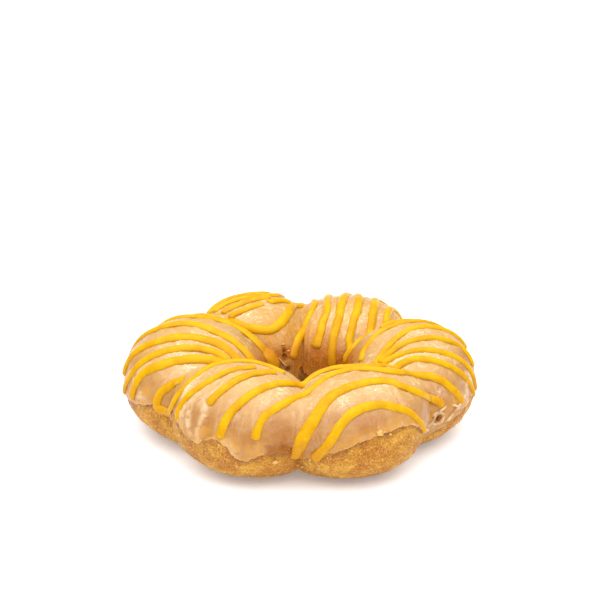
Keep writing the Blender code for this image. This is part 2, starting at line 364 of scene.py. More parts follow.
# The glaze's lower edge all round, where it stopped running: (turn, over)
GLAZE_EDGE = (
    (-180, -8), (-175, -9), (-170, -6), (-165, -4), (-160, 0), (-156, 5), (-153, 7), (-150, 3), (-146, -6),
    (-143, 4), (-139, 21), (-136, 17), (-133, 12), (-131, 8), (-129, 3), (-126, 0), (-124, 0), (-121, 6),
    (-118, 8), (-116, 6), (-114, 3), (-112, -5), (-111, -10), (-108, -12), (-106, -8), (-103, -5),
    (-100, -4), (-98, -3), (-96, -5), (-94, -8), (-92, -17), (-90, -20), (-87, -13), (-84, -8), (-81, -2),
    (-78, 3), (-75, 8), (-72, 11), (-69, 14), (-66, 16), (-62, 18), (-58, 19), (-54, 18), (-51, 12),
    (-48, 5), (-44, -4), (-40, -14), (-36, -38), (-33, -36), (-30, -28), (-27, -22), (-24, -16), (-21, -10),
    (-17, -5), (-12, -2), (-7, 0), (0, 3), (8, -3), (15, 2), (22, 6), (30, 0), (37, -8), (43, -20), (48, -6),
    (55, 5), (61, 8), (68, 0), (75, 6), (82, 2), (87, -8), (91, -18), (95, -4), (102, 6), (110, 9), (117, 3),
    (124, 7), (131, 0), (136, -14), (141, -3), (148, 5), (155, 1), (162, -4), (168, 3), (174, -3),
)
# And its edge in the hole
HOLE_EDGE = (
    (-180, 196), (-160, 188), (-140, 198), (-120, 190), (-100, 200), (-80, 192), (-60, 198), (-40, 190),
    (-20, 196), (0, 190), (20, 200), (36, 194), (46, 204), (56, 196), (66, 190), (74, 200), (84, 192),
    (93, 184), (100, 196), (108, 198), (116, 190), (124, 186), (132, 198), (140, 190), (150, 200), (165, 190),
)
EDGE_RAG = 2.2
HOLE_RAG = 3.0
RAG_FINENESS = 22.0


def outline(points, turn):
    """The height of an edge at one turn, smooth from point to point."""
    turn = (turn - points[0][0]) % 360.0 + points[0][0]
    closed = points + ((points[0][0] + 360.0, points[0][1]),)
    for (start, low), (end, high) in zip(closed, closed[1:]):
        if turn <= end:
            return low + (high - low) * ease((turn - start) / (end - start))
    return closed[-1][1]


def ragged(turn, seed):
    """A small uneven wave round the ring."""
    angle = math.radians(turn)
    return layered(Vector((math.cos(angle), math.sin(angle), seed)) * RAG_FINENESS, 3)


def glaze_edges(turn):
    """Where the glaze ends at one turn, outside and in the hole."""
    lower = outline(GLAZE_EDGE, turn) + EDGE_RAG * ragged(turn, 0.0)
    inner = outline(HOLE_EDGE, turn) + HOLE_RAG * ragged(turn, 3.0)
    return lower, inner


step_edges = [glaze_edges(360.0 * step / STEPS_ROUND) for step in range(STEPS_ROUND)]
dough_overs = [start + (end - start) * k / rows for start, end, rows in DOUGH_BANDS for k in range(rows)]

# The crust is soaked in a patchy band under the glaze's edge, where a painted shadow of the edge is added
SOAKED_SHADED_BAND = 11.0
SOAKED_SHADED_PATCH_SIZE = 2.0 * MM
# Under the glaze the crust is sunk, from this far inside the edge
COVERED_SINK = 0.5 * MM
COVERED_FROM = 2.0
COVERED_BAND = 8.0
# The crust is painted darker down in the hole as painted shade, and is golden again underneath. A pit is
# painted darker by its depth as painted shade, and one of this depth is as dark.
HOLE_DARK_FROM = 140.0
HOLE_DARK_RISE = 35.0
HOLE_DARK_UNTIL = 235.0
HOLE_DARK_FALL = 40.0
DARK_PIT = 0.5 * MM


def put_dough(turn, row):
    """A corner of the dough: its place, its soaking with painted edge shadow, and how deep it is in the hole
    or a pit, for painted shade.
    """
    over = dough_overs[row]
    place = dough_point(turn, over)
    relief = lumps(place) + FOLD_HEIGHT * layered(place / FOLD_SIZE, 3)
    relief += GRAIN_HEIGHT * layered(place / GRAIN_SIZE, 2)
    pore = noise.voronoi(place / PORE_SPACING)[0][0]
    relief -= PORE_DEPTH * (1.0 - ease(pore / PORE_REACH))
    pit = pit_depth(place)
    relief -= CRUST_DEPTH + pit
    relief += swelling(place)
    lower, inner = step_edges[round(turn * STEPS_ROUND / 360.0) % STEPS_ROUND]
    below = lower - over if over < 90.0 else over - inner
    relief -= COVERED_SINK * ease((-below - COVERED_FROM) / COVERED_BAND)
    place_now = place + dough_normal(turn, over) * relief
    place_now.z = max(place_now.z, 0.0)
    # Soaked crust and a painted shadow of the glaze's edge, in one patchy band
    soaked = (1.0 - ease(below / SOAKED_SHADED_BAND)) * (0.6 + 0.8 * noise.noise(place / SOAKED_SHADED_PATCH_SIZE))
    # Painted shade down in the hole, and in each pit by its depth
    deep = ease((over - HOLE_DARK_FROM) / HOLE_DARK_RISE)
    deep *= 1.0 - ease((over - HOLE_DARK_UNTIL) / HOLE_DARK_FALL)
    return place_now, soaked, max(deep, min(pit / DARK_PIT, 1.0))


dough_shape = closed_ring(len(dough_overs), ("soaked", "deep"), put_dough)
finished(dough_shape, "dough", crust.material)

# The glaze
# A thin coat of sugar glaze that ran down from the top and set: satin, milky where it is thick, tan where
# the crust shows through. Its rim is a small bead. It is one closed film whose underside is in the crust.

# Its edge starts in the crust, rises to a bead and falls back to the film. The width of the lip, the way
# back and the bands are in degrees of over.
LIP_SINK = 0.75 * MM
LIP_RISE = 0.92 * MM
LIP_EVEN = 0.95
LIP_UNEVEN = 0.07
LIP_FALL = 0.20 * MM
LIP_WIDTH = 1.7
LIP_BACK = 5.0
RIM_BAND = 3.0
THIN_BAND = 17.0
UNDERSIDE = 1.1 * MM
RIM_ROWS = (0.0, 0.35, 0.8, 1.4, 2.2, 3.3, 4.8)
TOP_ROWS = 112
UNDER_ROWS = 18
GLAZE_ROWS = 2 * len(RIM_ROWS) + TOP_ROWS + UNDER_ROWS
WRINKLE_SIZE = 4.2 * MM
WRINKLE_HEIGHT = 0.22 * MM
CRINKLE_SIZE = 1.2 * MM
CRINKLE_HEIGHT = 0.08 * MM
PIT_OPENING = 1.3
THIN_GAIN = 1.5
AMBER_FROM = 122.0
AMBER_BAND = 42.0
RUNNING_STEP = 60.0

# Milky runs, where the glaze gathered in low ribs as it flowed: lines of (turn, over)
RUNS = (
    ((-133, 14), (-133, 30), (-134, 46), (-134, 64), (-136, 88), (-150, 116)),
    ((-127, 8), (-128.5, 22), (-129, 36), (-128, 50), (-124, 74)),
    ((-124, 3), (-123.5, 16), (-122.5, 28), (-123, 38)),
    ((-131, 6), (-131.5, 20), (-131, 34)),
    ((-112, -8), (-112, 4), (-115, 9)),
    ((-166, 4), (-166.5, 18), (-166, 32), (-164, 44)),
    ((-10, 24), (-10, 8), (-10.5, -6), (-14, -16)),
    ((-17, -6), (-15, 8), (-14, 22)),
    ((-36, -28), (-35, -14), (-33, -6)),
    ((-70, 107), (-62, 102), (-56, 95), (-51, 80)),
    ((-43, 97), (-32, 101), (-24, 92), (-18, 72)),
)
RUN_REACH = 1.0 * MM
RIB_HALF_WIDTH = 0.42 * MM
RIB_HEIGHT = 0.24 * MM
RIB_STEP = 0.25 * MM

# Places where the coat is so thin that the crust's gold shows: turn, over and half width
THIN = (
    (-121.0, 12.0, 2.4 * MM),
    (-112.0, 3.0, 2.4 * MM),
    (-105.0, 3.0, 2.2 * MM),
    (-31.0, -2.0, 3.4 * MM),
    (-36.0, 4.0, 2.4 * MM),
    (-23.0, 0.0, 2.6 * MM),
    (-158.0, 16.0, 1.8 * MM),
    (-176.0, 44.0, 2.6 * MM),
    (129.0, 138.0, 3.4 * MM),
    (119.0, 136.0, 5.0 * MM),
    (108.0, 140.0, 5.0 * MM),
    (98.0, 134.0, 3.6 * MM),
)
# Places where it ran off again and left the brown crust
BARE = (
    (-96.5, 2.5, 2.6 * MM),
    (-99.5, 1.5, 2.2 * MM),
    (-95.0, -5.0, 2.4 * MM),
    (-85.0, -8.0, 1.8 * MM),
    (-30.3, -7.0, 1.2 * MM),
    (-22.5, 0.0, 0.9 * MM),
    (117.5, 161.0, 2.4 * MM),
)
# Places on the crests where it set white, painted whiter still as painted glints
FROSTED_AND_GLINTS = (
    (-133.0, 50.0, 2.8 * MM),
    (-124.0, 44.0, 2.2 * MM),
    (-114.0, 80.0, 2.4 * MM),
    (-104.0, 56.0, 1.6 * MM),
    (-99.0, 80.0, 2.0 * MM),
    (-76.0, 57.0, 2.8 * MM),
    (-62.0, 70.0, 2.8 * MM),
    (-40.0, 56.0, 2.4 * MM),
    (-30.0, 26.0, 1.8 * MM),
    (-18.0, 2.0, 2.2 * MM),
    (-13.0, 20.0, 2.6 * MM),
    (-13.0, 62.0, 4.0 * MM),
    (-2.0, 92.0, 4.2 * MM),
    (14.0, 112.0, 4.2 * MM),
    (54.0, 112.0, 3.6 * MM),
    (70.0, 112.0, 3.8 * MM),
    (128.0, 104.0, 3.0 * MM),
    (166.0, 46.0, 4.2 * MM),
    (-178.0, 104.0, 5.0 * MM),
    (-162.0, 76.0, 4.4 * MM),
    (-150.0, 76.0, 3.0 * MM),
    (-160.0, 8.0, 2.0 * MM),
)


def smooth_line(points, step):
    """(turn, over) pairs about one step apart on a smooth line through the given ones."""
    turns = [points[0][0]]
    for turn, _ in points[1:]:
        turns.append(turn - 360.0 * round((turn - turns[-1]) / 360.0))
    knots = [Vector((turn, over)) for turn, (_, over) in zip(turns, points)]
    knots = [2.0 * knots[0] - knots[1]] + knots + [2.0 * knots[-1] - knots[-2]]
    fine = []
    for before, start, end, after in zip(knots, knots[1:], knots[2:], knots[3:]):
        slope = end - before
        bend = 2.0 * before - 5.0 * start + 4.0 * end - after
        twist = 3.0 * start - before - 3.0 * end + after
        parts = max(4, round((dough_point(*start) - dough_point(*end)).length / step))
        for k in range(parts):
            t = k / parts
            fine.append(start + 0.5 * (slope * t + bend * t ** 2 + twist * t ** 3))
    fine.append(knots[-2])
    return fine


run_points = [dough_point(*pair) for run in RUNS for pair in smooth_line(run, RIB_STEP)]
run_tree = kdtree.KDTree(len(run_points))
for k, point in enumerate(run_points):
    run_tree.insert(point, k)
run_tree.balance()
thin_places, bare_places, frost_glint_places = (
    [(dough_point(turn, over), half) for turn, over, half in group] for group in (THIN, BARE, FROSTED_AND_GLINTS))


def nearness(place, places):
    """How near this is to the nearest of the places, 1 in its middle."""
    return max(math.exp(-((place - middle).length / half) ** 2) for middle, half in places)


def put_glaze(turn, row):
    """A corner of the glaze: its place and the measures that its finish reads."""
    lower, inner = step_edges[round(turn * STEPS_ROUND / 360.0) % STEPS_ROUND]
    bead_rows = len(RIM_ROWS)
    last = 2 * bead_rows + TOP_ROWS - 1
    if row < bead_rows:
        from_edge = RIM_ROWS[row]
        over = lower + from_edge
    elif row < bead_rows + TOP_ROWS:
        share = (row - bead_rows + 1.0) / (TOP_ROWS + 1.0)
        over = lower + RIM_ROWS[-1] + (inner - lower - 2.0 * RIM_ROWS[-1]) * share
        from_edge = min(over - lower, inner - over)
    elif row <= last:
        from_edge = RIM_ROWS[last - row]
        over = inner - from_edge
    else:
        share = (row - last) / (UNDER_ROWS + 1.0)
        over = inner + (lower - inner) * share
        from_edge = -1.0
    place = dough_point(turn, over)
    if from_edge < 0.0:
        lift = -UNDERSIDE - pit_depth(place)
        rim = thin = milk = bare = frost = pit = 0.0
    else:
        bead = min(from_edge / LIP_WIDTH, 1.0)
        full = LIP_EVEN + LIP_UNEVEN * ragged(turn, 5.0)
        lift = LIP_RISE * math.sqrt(1.0 - (1.0 - bead) ** 2) * full - LIP_SINK
        lift -= LIP_FALL * ease((from_edge - LIP_WIDTH) / LIP_BACK)
        coat = ease(from_edge / (2.0 * LIP_BACK))
        lift += coat * WRINKLE_HEIGHT * layered(place / WRINKLE_SIZE, 3)
        lift += coat * CRINKLE_HEIGHT * noise.noise(place / CRINKLE_SIZE)
        lift += lumps(place)
        apart = run_tree.find(place)[2]
        lift += RIB_HEIGHT * math.exp(-(apart / RIB_HALF_WIDTH) ** 2)
        milk = math.exp(-(apart / RUN_REACH) ** 2)
        pit = pit_depth(place)
        lift += swelling(place) - PIT_OPENING * pit
        rim = 1.0 - ease(from_edge / RIM_BAND)
        thin = max(1.0 - ease(from_edge / THIN_BAND), min(THIN_GAIN * nearness(place, thin_places), 1.0))
        bare = nearness(place, bare_places)
        frost = nearness(place, frost_glint_places)
    # Painted shade in pits by their depth, and amber down in the hole, partly the glaze's own tint and partly
    # painted shade
    deep = max(ease((over - AMBER_FROM) / AMBER_BAND), min(pit / DARK_PIT, 1.0))
    down = over / RUNNING_STEP
    return place + dough_normal(turn, over) * lift, rim, thin, milk, bare, frost, deep, down


# The glaze's finish: tan, with milky streaks that ran down over the side, painted paler on the crests as
# painted light from above, amber in the hole, partly its own tint and partly painted shade, and amber in pits
# as painted shade
GLAZE_TAN = rgb(160, 106, 46)
GLAZE_FAWN = rgb(174, 126, 66)
GLAZE_CREAM = rgb(198, 158, 96)
GLAZE_MILK = rgb(226, 198, 154)
GLAZE_ROSE = rgb(160, 98, 52)
GLAZE_GOLD = rgb(194, 134, 32)
GLAZE_OLD_GOLD = rgb(156, 116, 30)
GLAZE_STRAW = rgb(194, 140, 50)
GLAZE_AMBER = rgb(166, 94, 2)
GLAZE_BARE = rgb(150, 88, 6)
GLAZE_FROST_GLINT = rgb(240, 220, 188)
THICK_SIZE = 8.0 * MM
FROST_CREASE_SIZE = 3.0 * MM
MOTTLE_SIZE = 1.5 * MM
CRYSTAL_SIZE = 0.5 * MM
GRIT_SIZE = 0.4 * MM
GLAZE_CRINKLE_DEPTH = 0.30 * MM
STREAKS_ROUND = 16.0

sugar = Finish("sugar_glaze", specular_ior_level=0.3, subsurface_weight=0.1, subsurface_scale=0.6 * MM,
               coat_roughness=0.18)
sugar.shader.inputs["Subsurface Radius"].default_value = (1.0, 0.55, 0.3)
sugar_place = sugar.place()
round_ring = sugar.node("ShaderNodeVectorMath", {"operation": "NORMALIZE"},
                        {"Vector": sugar.place((1.0, 1.0, 0.0))})
round_ring = sugar.node("ShaderNodeVectorMath", {"operation": "SCALE"},
                        {"Vector": round_ring, "Scale": STREAKS_ROUND})
running = sugar.node("ShaderNodeCombineXYZ", {}, {"Z": sugar.painted("down")})
running = sugar.node("ShaderNodeVectorMath", {"operation": "ADD"}, {0: round_ring, 1: running})
streaks = sugar.clouds(running, 1.0, 4.0, 0.6, 0.6).over(0.5, 0.7)
thick = sugar.clouds(sugar_place, THICK_SIZE, 3.0).over(0.38, 0.62)
mottle = sugar.clouds(sugar_place, MOTTLE_SIZE, 5.0, 0.65, 0.5)
crystals = sugar.clouds(sugar_place, CRYSTAL_SIZE, 3.0, 0.6, 0.6)
grit = sugar.clouds(sugar_place, GRIT_SIZE, 3.0, 0.7)
# The crests, where the glaze is painted paler as painted light from above
lit_crest = sugar.painted("down").over(0.45, 1.1)
to_back = sugar.along("Y")
# The glaze is straw gold towards the back, in uneven patches
golden = (to_back + (thick - 0.5) * 16.0 * MM).over(-6.0 * MM, 24.0 * MM)
creases = sugar.clouds(sugar_place, FROST_CREASE_SIZE, 5.0, 0.68, 1.6).over(0.5, 0.64)
# The inner wall at the back left, where the glaze is thin and sandy
wall = 1.0 - sugar.from_axis().over(13.0 * MM, 22.0 * MM)
wall = wall * (1.0 - sugar.along("X").over(-4.0 * MM, 5.0 * MM)) * to_back.over(0.0, 6.0 * MM)
sugar_colour = sugar.mix(thick, GLAZE_TAN, GLAZE_FAWN)
sugar_colour = sugar.mix(mottle.over(0.42, 0.66) * 0.45, sugar_colour, GLAZE_ROSE)
# Painted light: the crests are painted cream, paler where the light from above falls
sugar_colour = sugar.mix(lit_crest * 0.7, sugar_colour, GLAZE_CREAM)
sugar_colour = sugar.mix(golden * 0.6, sugar_colour, GLAZE_STRAW)
sugar_colour = sugar.mix(wall * (0.6 + mottle.over(0.36, 0.6) * 0.4), sugar_colour, GLAZE_OLD_GOLD)
sugar_colour = sugar.mix(streaks * 0.2, sugar_colour, GLAZE_MILK)
# Milky crinkles on the crests, partly real milky glaze and partly painted glints
sugar_colour = sugar.mix(lit_crest * creases * 0.45, sugar_colour, GLAZE_MILK)
# The white set patches, painted whiter as painted glints
frost_glint_mask = creases * 0.42 + crystals.over(0.4, 0.62) * 0.36
sugar_colour = sugar.mix(sugar.painted("frost") * frost_glint_mask, sugar_colour, GLAZE_FROST_GLINT)
sugar_colour = sugar.mix(sugar.painted("milk") * mottle.over(0.3, 0.6) * 0.7, sugar_colour, GLAZE_MILK)
sugar_colour = sugar.mix(sugar.painted("thin") * mottle.over(0.36, 0.58) * 0.8, sugar_colour, GLAZE_GOLD)
sugar_colour = sugar.mix(sugar.painted("rim") * mottle.over(0.44, 0.6) * 0.6, sugar_colour, GLAZE_MILK)
bare_crust = (sugar.painted("bare") + (mottle - 0.5) * 1.6).over(0.25, 0.7)
sugar_colour = sugar.mix(bare_crust, sugar_colour, GLAZE_BARE)
sugar_colour = sugar.mix(wall * grit.over(0.5, 0.62) * 0.35, sugar_colour, GLAZE_CREAM)
# Amber down in the hole, partly the glaze's own tint and partly painted shade, and in pits as painted shade
deep_share = sugar.painted("deep") * (1.0 - streaks * 0.2) * (1.0 - wall * 0.4)
sugar_colour = sugar.mix(deep_share, sugar_colour, GLAZE_AMBER)
sugar.wire("Base Color", sugar_colour)
sugar.wire("Roughness", 0.26 + mottle * 0.25)
sugar.wire("Coat Weight", 0.25 - sugar.painted("deep") * 0.25 - sugar.painted("bare") * 0.2)
crinkle = crystals * 0.45 + mottle + streaks * 0.3 + lit_crest * creases * 0.3 + wall * grit * 0.6
crinkle = crinkle - sugar.painted("bare") * grit
sugar.wire("Normal", sugar.bump(crinkle, GLAZE_CRINKLE_DEPTH, 0.85))

glaze_shape = closed_ring(GLAZE_ROWS, ("rim", "thin", "milk", "bare", "frost", "deep", "down"), put_glaze)
finished(glaze_shape, "glaze", sugar.material)

# The icing
# Thick yellow icing, piped back and forth over the set glaze in strands that keep their round backs and
# end in small blobs. Each strand is a closed bar that follows the doughnut.
STRAND_HALF_WIDTH = 1.10 * MM
STRAND_HEIGHT = 0.68 * MM
STRAND_ROOT = 0.55 * MM
STRAND_BACK = 1.45
STRAND_STEP = 0.42 * MM
BRIDGE_STEPS = 4
STRAND_CORNERS = 16
TIP_LENGTH = 0.95 * MM
TIP_STOPS = (0.0, 0.02, 0.08, 0.2, 0.4, 0.68)
TIP_END_WIDTH = 0.04
TIP_END_HEIGHT = 0.10
BLOB_LENGTH = 2.2 * MM
BLOB_SWELL = 0.16

# A strand's width varies in slow swells and small ripples, and its line wanders a little
SWELL_SIZE = 4.5 * MM
SWELL_SHARE = 0.10
RIPPLE_SIZE = 1.3 * MM
RIPPLE_SHARE = 0.03
WANDER_SIZE = 2.2 * MM
WANDER = 0.16 * MM

# The strands as they were drizzled: how wide each is at its start, middle and end, as shares of the half
# width above, then a smooth line through (turn, over)
STRANDS = (
    # front right ball
    ((1.05, 1.12, 0.75), ((-86, -13), (-82, 10), (-78, 32), (-72, 45), (-64, 46), (-56, 35), (-50, 17),
                          (-46, 0))),
    ((1.60, 1.25, 0.90), ((-92, -18), (-91, 5), (-89, 24), (-85, 48), (-80, 65), (-73, 72), (-65, 74),
                          (-57, 70), (-50, 55), (-41, 37), (-34, 25), (-29, 10))),
    ((0.85, 1.20, 1.00), ((-105, 14), (-103, 38), (-96, 60), (-88, 86), (-77, 100), (-63, 99), (-49, 80),
                          (-37, 73), (-31, 58), (-27, 42), (-24, 25), (-19, 1))),
    ((1.00, 1.12, 0.80), ((-116, 11), (-114, 34), (-109, 60), (-100, 88), (-87, 112), (-71, 114), (-54, 100),
                          (-40, 98), (-29, 92), (-21, 58), (-13, 18), (-9, -4))),
    # front left ball
    ((1.00, 1.10, 0.90), ((-122, 40), (-119, 58), (-114, 84), (-105, 103))),
    ((0.80, 1.00, 0.85), ((-134, 14), (-133, 32), (-128, 56), (-123, 80), (-115, 100))),
    ((1.20, 0.90, 0.95), ((-142, 58), (-147, 47), (-149, 37), (-151, 27), (-152, 16), (-152, 7), (-150, 4),
                          (-146, 7), (-141, 18), (-138, 32), (-136, 46), (-135, 66), (-134, 88), (-126, 110),
                          (-111, 113), (-101, 111))),
    # left ball
    ((1.20, 1.40, 1.20), ((-166, 0), (-163, 32), (-157, 60), (-152, 94), (-148, 112), (-141, 128))),
    ((0.95, 1.20, 1.00), ((-175, -6), (-173, 4), (-170, 20), (-168, 38), (-165, 60), (-161, 90), (-157, 108),
                          (-146, 124))),
    ((1.10, 1.50, 1.25), ((-179, 8), (-179, 24), (-177, 42), (-174, 64), (-171, 94), (-165, 114),
                          (-152, 130))),
    ((1.05, 1.45, 1.25), ((168, 8), (168, 38), (171, 66), (173, 96), (-179, 118), (-170, 134), (-159, 150))),
    ((1.00, 1.20, 1.00), ((157, 14), (156, 50), (156, 80), (152, 100), (148, 114))),
    ((1.05, 1.35, 2.40), ((147, 30), (145, 70), (146, 98), (146, 114), (146, 126), (145, 138), (143.5, 149),
                          (138, 161))),
    ((1.00, 1.25, 0.80), ((142, 24), (140, 60), (136, 92), (133, 118), (124, 131), (111, 128), (101, 115),
                          (96, 98), (91, 70), (90, 40), (91, 22))),
    # back left ball
    ((0.90, 1.00, 0.80), ((133, 50), (124, 54), (115, 68), (105, 62), (102, 32))),
    ((0.90, 1.00, 0.80), ((133, 64), (124, 74), (114, 82), (104, 78), (98, 52), (97, 24))),
    ((0.85, 0.95, 0.70), ((133, 80), (126, 88), (114, 90), (106, 88))),
    ((0.85, 0.95, 0.70), ((134, 94), (125, 99), (113, 100))),
    ((0.90, 1.00, 0.80), ((110, 98), (104, 94), (96, 88))),
    # back right ball
    ((0.85, 0.95, 1.10), ((84, 20), (85, 50), (85, 72), (84, 88), (85, 104), (88, 120), (93, 140),
                          (99, 155), (105, 168))),
    ((0.90, 1.00, 1.15), ((76, 14), (79, 50), (79, 76), (77, 95), (74, 112), (74, 127), (73, 142),
                          (75, 158))),
    ((1.00, 1.10, 0.90), ((69, 24), (72, 56), (69, 92), (62, 124), (57, 146), (51, 168), (50, 178))),
    ((0.95, 1.05, 0.90), ((63, 12), (68, 50), (64, 76), (57, 102), (51, 121), (45, 138), (36, 151),
                          (32, 163))),
    ((0.95, 1.05, 0.80), ((55, 22), (60, 54), (52, 88), (45, 106), (37, 124), (27, 146), (26, 166))),
    ((0.90, 0.95, 0.85), ((49, 16), (52, 48), (48, 72), (42, 92))),
    # right ball
    ((0.90, 0.90, 0.70), ((32, 12), (32, 46), (30, 78), (29, 100), (21, 114))),
    ((0.85, 0.95, 0.80), ((18, 10), (20, 46), (19, 78), (14, 106), (5, 126), (-9, 138), (-22, 138))),
    ((0.85, 1.00, 0.80), ((10, 26), (10, 56), (4, 88), (-7, 105), (-19, 113), (-32, 119))),
    ((0.85, 1.00, 0.80), ((-1, 18), (0, 46), (-7, 78), (-16, 100), (-30, 116))),
    ((0.75, 1.00, 0.80), ((-6, -2), (-9, 34), (-15, 64), (-22, 92), (-31, 112))),
)

# A thin smear that ran back over the crease from the second strand's end
SMEAR = ((-33, 3), (-33.6, -5), (-34.6, -13), (-38, -10), (-43, -1))
SMEAR_WIDTHS = (0.55, 0.40, 0.45)
SMEAR_HEIGHT = 0.55 * MM
# The pool beside the hole, where the widest strand ended: turn and over of its middle and of a place
# further on, and its half sizes along that way, across it and outwards
POOL_MIDDLE = (141.0, 162.0)
POOL_TOWARDS = (134.0, 172.0)
POOL_HALF_LENGTH = 3.7 * MM
POOL_HALF_WIDTH = 3.1 * MM
POOL_HEIGHT = 1.9 * MM
POOL_UNEVEN = 0.10
POOL_LUMPS = 1.6


def stations(points):
    """Places along a strand, closer at its tips: (turn, over), the distance to the nearer end and the
    share of its length before it."""
    fine = smooth_line(points, STRAND_STEP / 3.0)
    places = [dough_point(*pair) for pair in fine]
    travelled = [0.0]
    for a, b in zip(places, places[1:]):
        travelled.append(travelled[-1] + (b - a).length)
    whole = travelled[-1]
    middle = round((whole - 2.0 * TIP_LENGTH) / STRAND_STEP)
    stops = [TIP_LENGTH * stop for stop in TIP_STOPS]
    stops += [TIP_LENGTH + (whole - 2.0 * TIP_LENGTH) * k / middle for k in range(middle + 1)]
    stops += [whole - TIP_LENGTH * stop for stop in reversed(TIP_STOPS)]
    found = []
    k = 0
    for stop in stops:
        while k < len(travelled) - 2 and travelled[k + 1] < stop:
            k += 1
        share = (stop - travelled[k]) / (travelled[k + 1] - travelled[k])
        found.append((fine[k].lerp(fine[k + 1], share), min(stop, whole - stop), stop / whole))
    return found


def strand(shape, widths, points, height):
    """One strand: a tube extruded in even steps, then bent along its line and flattened onto the glaze."""
    line = stations(points)
    bar = bmesh.new()
    bmesh.ops.create_circle(bar, segments=STRAND_CORNERS, radius=1.0)
    bmesh.ops.spin(bar, geom=bar.verts[:] + bar.edges[:], cent=(0.0, 0.0, 0.0), axis=(0.0, 0.0, 1.0),
                   dvec=(0.0, 0.0, 1.0), angle=0.0, steps=len(line) - 1)
    places = [dough_point(*pair) for pair, _, _ in line]
    normals = [dough_normal(*pair) for pair, _, _ in line]
    first, second, third = widths
    frames = []
    for k, (_, left, share) in enumerate(line):
        if share < 0.5:
            width = first + (second - first) * 2.0 * share
        else:
            width = second + (third - second) * (2.0 * share - 1.0)
        start = max(k - BRIDGE_STEPS, 0)
        end = min(k + BRIDGE_STEPS + 1, len(line))
        normal = sum(normals[start:end], Vector()).normalized()
        bridged = sum(places[start:end], Vector()) / (end - start)
        over_gap = max((bridged - places[k]).dot(normal), 0.0)
        forward = (places[min(k + 1, len(places) - 1)] - places[max(k - 1, 0)]).normalized()
        side = forward.cross(normal).normalized()
        round_tip = math.sqrt(max(0.0, 1.0 - (1.0 - min(left / TIP_LENGTH, 1.0)) ** 2))
        blob = 1.0 + BLOB_SWELL * math.exp(-(left / BLOB_LENGTH) ** 2)
        uneven = 1.0 + SWELL_SHARE * noise.noise(places[k] / SWELL_SIZE)
        uneven += RIPPLE_SHARE * noise.noise(places[k] / RIPPLE_SIZE)
        half = STRAND_HALF_WIDTH * width * blob * uneven * max(round_tip, TIP_END_WIDTH)
        top = height * (0.5 + 0.5 * width) * uneven * max(round_tip, TIP_END_HEIGHT)
        centre = places[k] + normal * (lumps(places[k]) + over_gap)
        centre += side * (WANDER * noise.noise(places[k] / WANDER_SIZE))
        frames.append((centre, side, normal, half, top, STRAND_ROOT + over_gap))
    for corner in bar.verts:
        centre, side, normal, half, top, root = frames[min(round(corner.co.z), len(frames) - 1)]
        up = top * corner.co.y ** STRAND_BACK if corner.co.y > 0.0 else root * corner.co.y
        corner.co = centre + side * (corner.co.x * half) + normal * up
    bmesh.ops.holes_fill(bar, edges=[edge for edge in bar.edges if edge.is_boundary])
    bmesh.ops.recalc_face_normals(bar, faces=bar.faces)
    loose = bpy.data.meshes.new("strand")
    bar.to_mesh(loose)
    bar.free()
    shape.from_mesh(loose)
    bpy.data.meshes.remove(loose)


ICING_YELLOW = rgb(206, 156, 3)
ICING_DEEP = rgb(194, 140, 2)
ICING_PALE = rgb(216, 172, 22)
ICING_BROWNER = rgb(184, 120, 20)
POOLED_SIZE = 4.0 * MM
WORN_SIZE = 1.2 * MM
SKIN_SIZE = 0.7 * MM
SKIN_DEPTH = 0.05 * MM

piped = Finish("yellow_icing", specular_ior_level=0.10, subsurface_weight=0.15, subsurface_scale=0.8 * MM)
piped.shader.inputs["Subsurface Radius"].default_value = (1.0, 0.6, 0.15)
piped_place = piped.place()
pooled = piped.clouds(piped_place, POOLED_SIZE, 3.0).over(0.4, 0.65)
worn = piped.clouds(piped_place, WORN_SIZE, 4.0, 0.6).over(0.52, 0.72)
piped_colour = piped.mix(pooled, ICING_YELLOW, ICING_DEEP)
piped_colour = piped.mix(worn * 0.3, piped_colour, ICING_PALE)
# It is darker and browner low on the sides and in the hole
low_on_sides = 1.0 - (piped.along("Z") + (worn - 0.5) * 4.0 * MM).over(8.0 * MM, 18.0 * MM)
piped_colour = piped.mix(low_on_sides * 0.75, piped_colour, ICING_BROWNER)
inside = 1.0 - piped.from_axis().over(9.5 * MM, 15.0 * MM)
piped_colour = piped.mix(inside * 0.85, piped_colour, ICING_BROWNER)
piped.wire("Base Color", piped_colour)
piped.wire("Roughness", 0.3 + worn * 0.18)
piped.wire("Normal", piped.bump(piped.clouds(piped_place, SKIN_SIZE, 2.0), SKIN_DEPTH, 0.5))

drizzle = bmesh.new()
for widths, points in STRANDS:
    strand(drizzle, widths, points, STRAND_HEIGHT)
strand(drizzle, SMEAR_WIDTHS, SMEAR, SMEAR_HEIGHT)
pool = bmesh.ops.create_icosphere(drizzle, subdivisions=4, radius=1.0)["verts"]
pool_middle = dough_point(*POOL_MIDDLE)
pool_down = (dough_point(*POOL_TOWARDS) - pool_middle).normalized()
pool_side = pool_down.cross(dough_normal(*POOL_MIDDLE)).normalized()
pool_out = pool_side.cross(pool_down)
for corner in pool:
    x, y, z = corner.co * (1.0 + POOL_UNEVEN * noise.noise(corner.co * POOL_LUMPS))
    across_pool = pool_down * (x * POOL_HALF_LENGTH) + pool_side * (y * POOL_HALF_WIDTH)
    corner.co = pool_middle + across_pool + pool_out * (z * POOL_HEIGHT)
finished(drizzle, "icing", piped.material)

